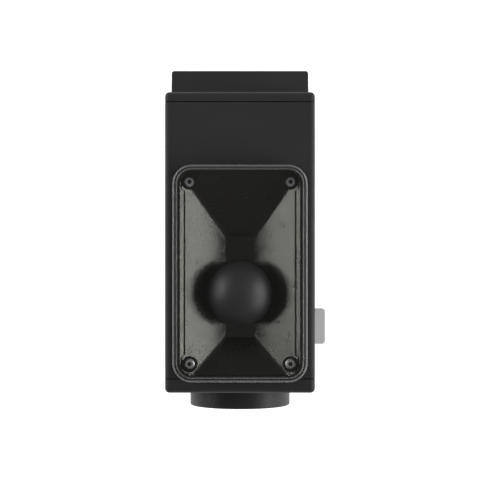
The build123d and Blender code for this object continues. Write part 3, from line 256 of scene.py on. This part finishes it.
def magnet_plate(name):
    """Smooth nickel plating."""
    s = Shader(name)
    s.colour(s.noise(5, 3), (0.50, 0.49, 0.46), (0.62, 0.61, 0.58))
    s.roughness(s.noise(1.5, 3), 0.12, 0.24)
    s.bump(s.noise(1.2, 2), 0.004)
    s.put(metallic=1.0)
    return s.material


def copper_wire(name):
    """Enamelled copper turns, laid side by side."""
    s = Shader(name)
    turns = s.bands("X", WIRE_BANDS, WIRE_WOBBLE)
    s.colour(turns, (0.20, 0.055, 0.018), (0.55, 0.21, 0.075))
    s.bump(turns, 0.12)
    s.roughness(s.noise(2, 2), 0.24, 0.36)
    s.put(metallic=0.8)
    return s.material


def lamination(name):
    """Stacked steel sheet: thin dark lines between the sheets, across the shaft."""
    s = Shader(name)
    sheets = s.bands("Y", SHEET_BANDS)
    s.colour(sheets, (0.05, 0.05, 0.055), (0.22, 0.22, 0.23))
    s.bump(sheets, 0.05)
    s.roughness(s.noise(2, 2), 0.35, 0.5)
    s.put(metallic=0.9)
    return s.material


def circuit_board(name):
    """Green resist with paler tracks."""
    s = Shader(name)
    cells = s.nodes.new("ShaderNodeTexVoronoi")
    cells.distance = "MANHATTAN"
    cells.feature = "F1"
    cells.inputs["Scale"].default_value = TRACK_CELLS
    s.links.new(s.place, cells.inputs["Vector"])
    s.colour(cells.outputs["Distance"], (0.045, 0.20, 0.085), (0.012, 0.085, 0.035), 0.2, 0.5)
    s.bump(cells.outputs["Distance"], 0.03)
    s.roughness(s.noise(3, 2), 0.22, 0.34)
    return s.material


def rubber(name):
    """Soft matt black rubber with a fine bloom."""
    s = Shader(name)
    s.colour(s.noise(9, 3), (0.012, 0.012, 0.012), (0.022, 0.021, 0.020))
    s.roughness(s.noise(2, 3), 0.68, 0.82)
    s.bump(s.noise(0.7, 3), 0.03)
    return s.material


def clear_pane(name):
    """Smoke-clear acrylic seen face on: almost nothing but a faint film and a clean reflection."""
    s = Shader(name)
    s.colour(s.noise(60, 2), (0.10, 0.10, 0.095), (0.14, 0.14, 0.135))
    s.roughness(s.noise(25, 2), 0.05, 0.09)
    s.see_through(0.25, 0.05, 0.45, 0.05, 0.95)
    return s.material


def clear_rim(name):
    """The same acrylic seen through its thickness, in a paler grey that paints the bright highlights along
    its polished edges.
    """
    s = Shader(name)
    # Painted highlight: a pale grey base colour, more opaque edge on, gives the lid's bright edge lines.
    s.colour(s.noise(60, 2), (0.36, 0.36, 0.355), (0.39, 0.39, 0.385))
    s.roughness(s.noise(60, 1), 0.16, 0.18)
    s.see_through(0.35, 0.22, 0.70, 0.0, 0.8)
    return s.material


MATERIALS = {
    "coat": powder_coat("Powder_coat", 0.036, (1.0, 1.0, 1.0), 0.62),
    "knob": anodised("Anodised_black", 0.036),
    "cast": cast_metal("Cast_aluminium"),
    "steel": ground_steel("Ground_steel"),
    "zinc": screw_metal("Plated_screw"),
    "hopper_plastic": moulded("Hopper_plastic", (0.009, 0.008, 0.006), (0.011, 0.010, 0.008), 0.25,
                              grain=0.9, depth=0.0003, ior=1.60, gloss_tint=(1.0, 1.0, 0.92)),
    "dome_plastic": moulded("Dome_plastic", (0.022, 0.024, 0.023), (0.026, 0.028, 0.027), 0.52,
                            grain=0.5, depth=0.001, ior=1.70),
    "clear": clear_pane("Clear_pane"),
    "dark_plastic": moulded("Dark_plastic", (0.016, 0.016, 0.016), (0.026, 0.026, 0.026), 0.46),
    "grey_plastic": moulded("Grey_plastic", (0.76, 0.76, 0.76), (0.82, 0.82, 0.82), 0.40,
                            grain=0.6, depth=0.006),
    "rubber": rubber("Rubber"),
    "copper": copper_wire("Enamelled_copper"),
    "lamination": lamination("Steel_laminations"),
    "board": circuit_board("Circuit_board"),
    "magnet": magnet_plate("Nickel_plate"),
}


def dress_nodes():
    """Each CAD node gets its slot's material."""
    for part in frame["record"]["subparts"]:
        node = frame["nodes"][part["node"]]
        for slot in node.material_slots:
            slot.material = MATERIALS[part["material_slot"]]
    # The hopper screws get their own material, with painted shade in their sockets.
    for slot in frame["nodes"]["hopper_screws"].material_slots:
        slot.material = socket_screw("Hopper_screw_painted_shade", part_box("hopper_screws")[1][2])


# ---------------------------------------------------------------- mesh helpers
LEAST_CORNER = 0.4 * MM


def new_piece(name, corners, faces, materials, body):
    """A mesh piece on a CAD body, with the materials given."""
    mesh = bpy.data.meshes.new(name)
    mesh.from_pydata(corners, [], faces)
    mesh.update()
    piece = bpy.data.objects.new(name, mesh)
    for material in materials:
        piece.data.materials.append(material)
    bpy.context.scene.collection.objects.link(piece)
    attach(piece, body)
    return piece


def outline(low, high, inset, radius, steps=12):
    """Points round a rectangle with rounded corners, inset from the given corners, anticlockwise."""
    radius = max(radius - inset, LEAST_CORNER)
    points = []
    for quarter, (sx, sy) in enumerate(((1, 1), (-1, 1), (-1, -1), (1, -1))):
        cx = (high[0] if sx > 0 else low[0]) - sx * (inset + radius)
        cy = (high[1] if sy > 0 else low[1]) - sy * (inset + radius)
        for i in range(steps + 1):
            angle = math.radians(90 * (quarter + i / steps))
            points.append((cx + radius * math.cos(angle), cy + radius * math.sin(angle)))
    return points


# ---------------------------------------------------------------- lid
LID_WALL = 2.2 * MM
LID_CORNER = 13.0 * MM
LID_EDGE = 1.6 * MM
LID_INNER_EDGE = 1.2 * MM


def arc(inset, top, radius, steps=6):
    """Insets and heights from an upright wall over a rounded edge to a flat top."""
    angles = [math.radians(90 * i / steps) for i in range(steps + 1)]
    return [(inset + radius * (1 - math.cos(a)), top - radius * (1 - math.sin(a))) for a in angles]


def lid():
    """Clear lid as one closed shell: the walls and rounded edges have the rim's look with its painted
    highlight, the top the pane's.
    """
    low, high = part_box("lid")
    rings = list(reversed(arc(LID_WALL, high[2] - LID_WALL, LID_INNER_EDGE)))
    rings += [(LID_WALL, low[2]), (0.0, low[2])]
    rings += arc(0.0, high[2], LID_EDGE)
    corners, faces = [], []
    for inset, z in rings:
        corners += [(x, y, z) for x, y in outline(low, high, inset, LID_CORNER)]
    count = len(corners) // len(rings)
    for ring in range(len(rings) - 1):
        for i in range(count):
            j = (i + 1) % count
            start = ring * count
            faces.append((start + i, start + j, start + count + j, start + count + i))
    under = len(faces)
    faces.append(tuple(reversed(range(count))))
    faces.append(tuple(range(len(corners) - count, len(corners))))
    looks = (clear_rim("Clear_rim_painted_highlight"), MATERIALS["clear"])
    piece = new_piece("Clear_lid", corners, faces, looks, "lid")
    for face in piece.data.polygons:
        face.use_smooth = face.index < under
        face.material_index = 0 if face.index < under else 1
    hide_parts("lid")


# ---------------------------------------------------------------- dial markings
MARKS = 31
MARKS_PER_NUMBER = 3
MARK_RING = 0.86
NUMBER_RING = 0.70
MARK_SIZE = (0.5 * MM, 2.4 * MM)
LONG_MARK = 1.5
MARK_PROUD = 0.04 * MM
NUMBER_HEIGHT = 4.2 * MM


def white_print(name):
    """Pale grey pad-printed ink, a little uneven where it thins."""
    s = Shader(name)
    s.colour(s.noise(0.8, 3), (0.50, 0.50, 0.49), (0.66, 0.66, 0.65))
    s.roughness(s.noise(1.2, 2), 0.50, 0.62)
    s.bump(s.noise(0.3, 2), 0.004)
    return s.material


def dial_face():
    """The dial's centre on its front face, and its radius."""
    low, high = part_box("dial")
    return Vector((0, low[1], (low[2] + high[2]) / 2)), (high[2] - low[2]) / 2


def dial_ticks(ink):
    """A ring of fine printed marks on the dial's face, longer at each number."""
    centre, radius = dial_face()
    corners, faces = [], []
    for i in range(MARKS):
        angle = 2 * math.pi * i / MARKS
        out = Vector((math.sin(angle), 0, math.cos(angle)))
        side = Vector((math.cos(angle), 0, -math.sin(angle)))
        length = MARK_SIZE[1] * (LONG_MARK if i % MARKS_PER_NUMBER == 0 else 1.0)
        start = len(corners)
        for depth in (MARK_PROUD, -MARK_PROUD):
            for across, along in ((-0.5, 0), (0.5, 0), (0.5, -1), (-0.5, -1)):
                place = centre + out * (MARK_RING * radius + along * length)
                corners.append(place + side * across * MARK_SIZE[0] + Vector((0, -depth, 0)))
        quads = ((0, 1, 2, 3), (7, 6, 5, 4), (4, 5, 1, 0), (5, 6, 2, 1), (6, 7, 3, 2), (7, 4, 0, 3))
        faces += [tuple(start + k for k in quad) for quad in quads]
    new_piece("Dial_marks", corners, faces, (ink,), "dial")


def dial_numbers(ink):
    """Plain setting numbers inside the ring of marks."""
    centre, radius = dial_face()
    for number, i in enumerate(range(0, MARKS - 1, MARKS_PER_NUMBER), 1):
        angle = 2 * math.pi * i / MARKS
        data = bpy.data.curves.new(f"Dial_number_{number}", "FONT")
        data.body = str(number)
        data.size = NUMBER_HEIGHT
        data.extrude = MARK_PROUD
        data.align_x = "CENTER"
        data.align_y = "CENTER"
        data.materials.append(ink)
        piece = bpy.data.objects.new(f"Dial_number_{number}", data)
        reach = NUMBER_RING * radius
        piece.location = centre + Vector((math.sin(angle) * reach, 0, math.cos(angle) * reach))
        piece.rotation_euler = (math.radians(90), 0, 0)
        bpy.context.scene.collection.objects.link(piece)
        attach(piece, "dial")


# ---------------------------------------------------------------- floor, lights, camera
def floor():
    """A pale floor just under the base."""
    bpy.ops.mesh.primitive_plane_add(size=2 * FLOOR_HALF, location=(0, 0, CAD_BOX[0][2] - FLOOR_GAP))
    plane = bpy.context.object
    plane.name = "Floor"
    s = Shader("Pale_floor")
    s.colour(s.noise(200, 2), (0.93, 0.93, 0.93), (0.95, 0.95, 0.95))
    s.put(roughness=0.9)
    s.bsdf.inputs["Emission Color"].default_value = (1, 1, 1, 1)
    s.bsdf.inputs["Emission Strength"].default_value = FLOOR_GLOW
    plane.data.materials.append(s.material)


def soft_light(name, place, width, height, watts):
    """A large soft box at a place, aimed at the grinder."""
    data = bpy.data.lights.new(name, "AREA")
    data.shape = "RECTANGLE"
    data.size = width
    data.size_y = height
    data.energy = watts
    lamp = bpy.data.objects.new(name, data)
    lamp.location = place
    lamp.rotation_euler = (Vector(LIGHT_AIM) - Vector(place)).to_track_quat("-Z", "Y").to_euler()
    bpy.context.scene.collection.objects.link(lamp)


def lights():
    """Soft boxes at the sides, faint fills at the ends, and an even white surround."""
    for light in SOFT_LIGHTS:
        soft_light(*light)
    world = bpy.data.worlds.new("Studio")
    world.use_nodes = True
    world.node_tree.nodes["Background"].inputs["Color"].default_value = (1, 1, 1, 1)
    world.node_tree.nodes["Background"].inputs["Strength"].default_value = WORLD_STRENGTH
    bpy.context.scene.world = world


def camera():
    """Straight down on the grinder, with its front at the bottom of the picture."""
    housing_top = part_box("housing_shell")[1][2]
    data = bpy.data.cameras.new("Camera")
    data.sensor_width = SENSOR
    data.lens = SENSOR * CAMERA_ABOVE_HOUSING / VIEW_WIDTH
    view = bpy.data.objects.new("Camera", data)
    view.location = (0, CAMERA_Y, housing_top + CAMERA_ABOVE_HOUSING)
    bpy.context.scene.collection.objects.link(view)
    bpy.context.scene.camera = view


bpy.context.scene.view_settings.view_transform = "Standard"
dress_nodes()
lid()
printed = white_print("Printed_marks")
dial_ticks(printed)
dial_numbers(printed)
floor()
lights()
camera()
